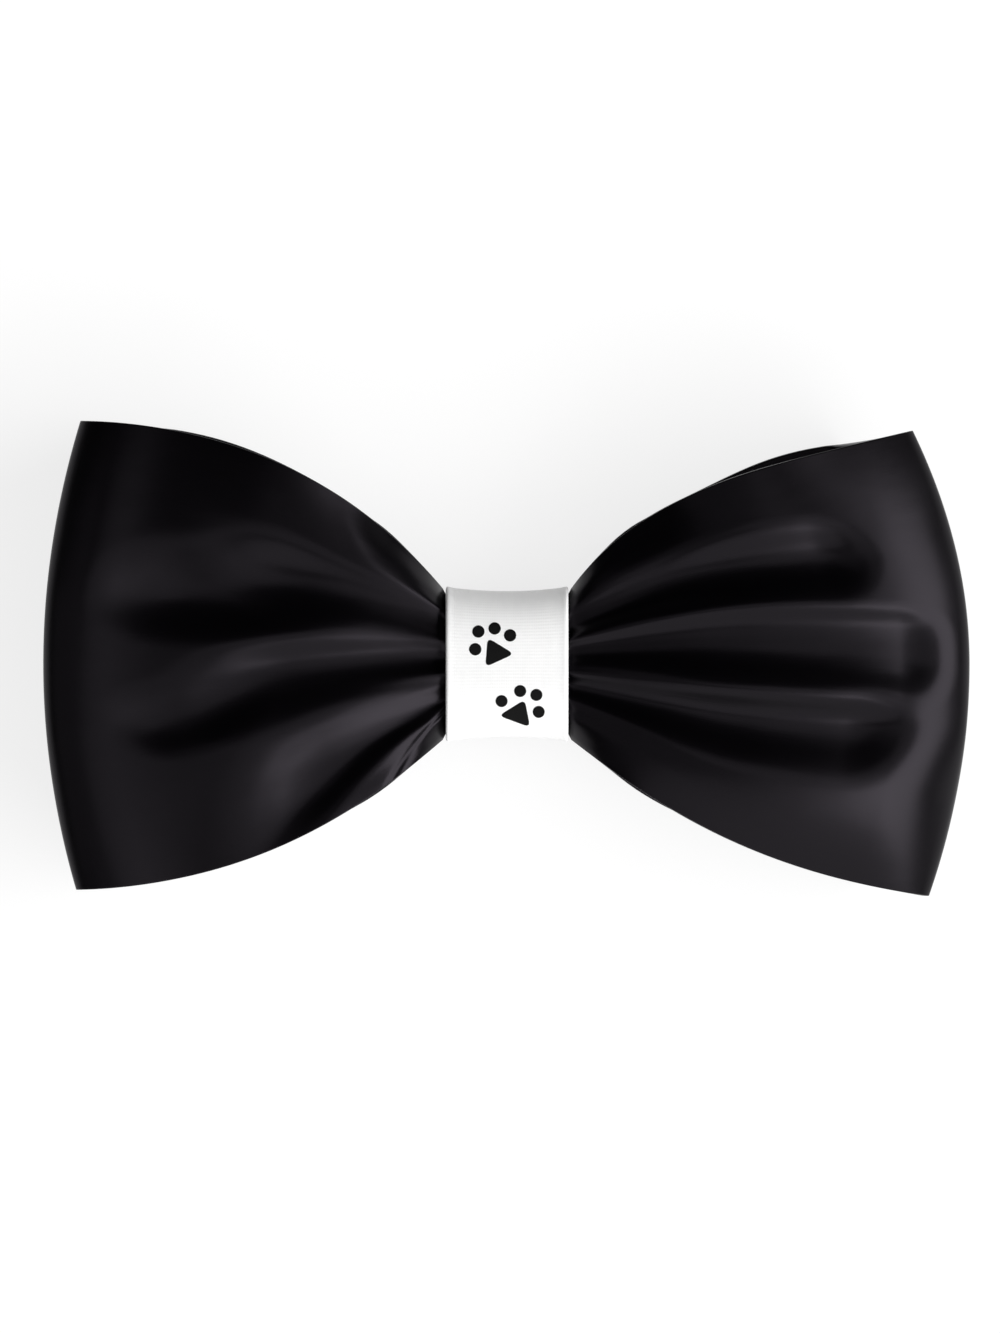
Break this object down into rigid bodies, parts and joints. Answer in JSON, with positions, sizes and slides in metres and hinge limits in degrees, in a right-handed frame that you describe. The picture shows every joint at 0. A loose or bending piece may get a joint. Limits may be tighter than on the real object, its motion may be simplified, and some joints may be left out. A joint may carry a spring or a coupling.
{
  "type": "pet bow tie",
  "caption": "Slide-on pet bow tie: a looped satin bow gathered by a ribbon band, with an elastic loop behind for a collar.",
  "frame": {"origin": "the middle of the knot, on the underside of the elastic loop, which lies on the surface", "axes": "+X along the wings, +Y up the bow as it is worn, +Z out of its front"},
  "size_m": [0.12, 0.0619, 0.0244],
  "materials": {
    "black_satin": "smooth satin with a soft sheen",
    "white_ribbon": "matt woven ribbon",
    "black_elastic": "matt knitted elastic",
    "black_print": "flat ink printed on the ribbon"
  },
  "bodies": {
    "root": {"right_wing": "black_satin", "left_wing": "black_satin", "knot_band": "white_ribbon", "collar_loop": "black_elastic"}
  },
  "joints": []
}
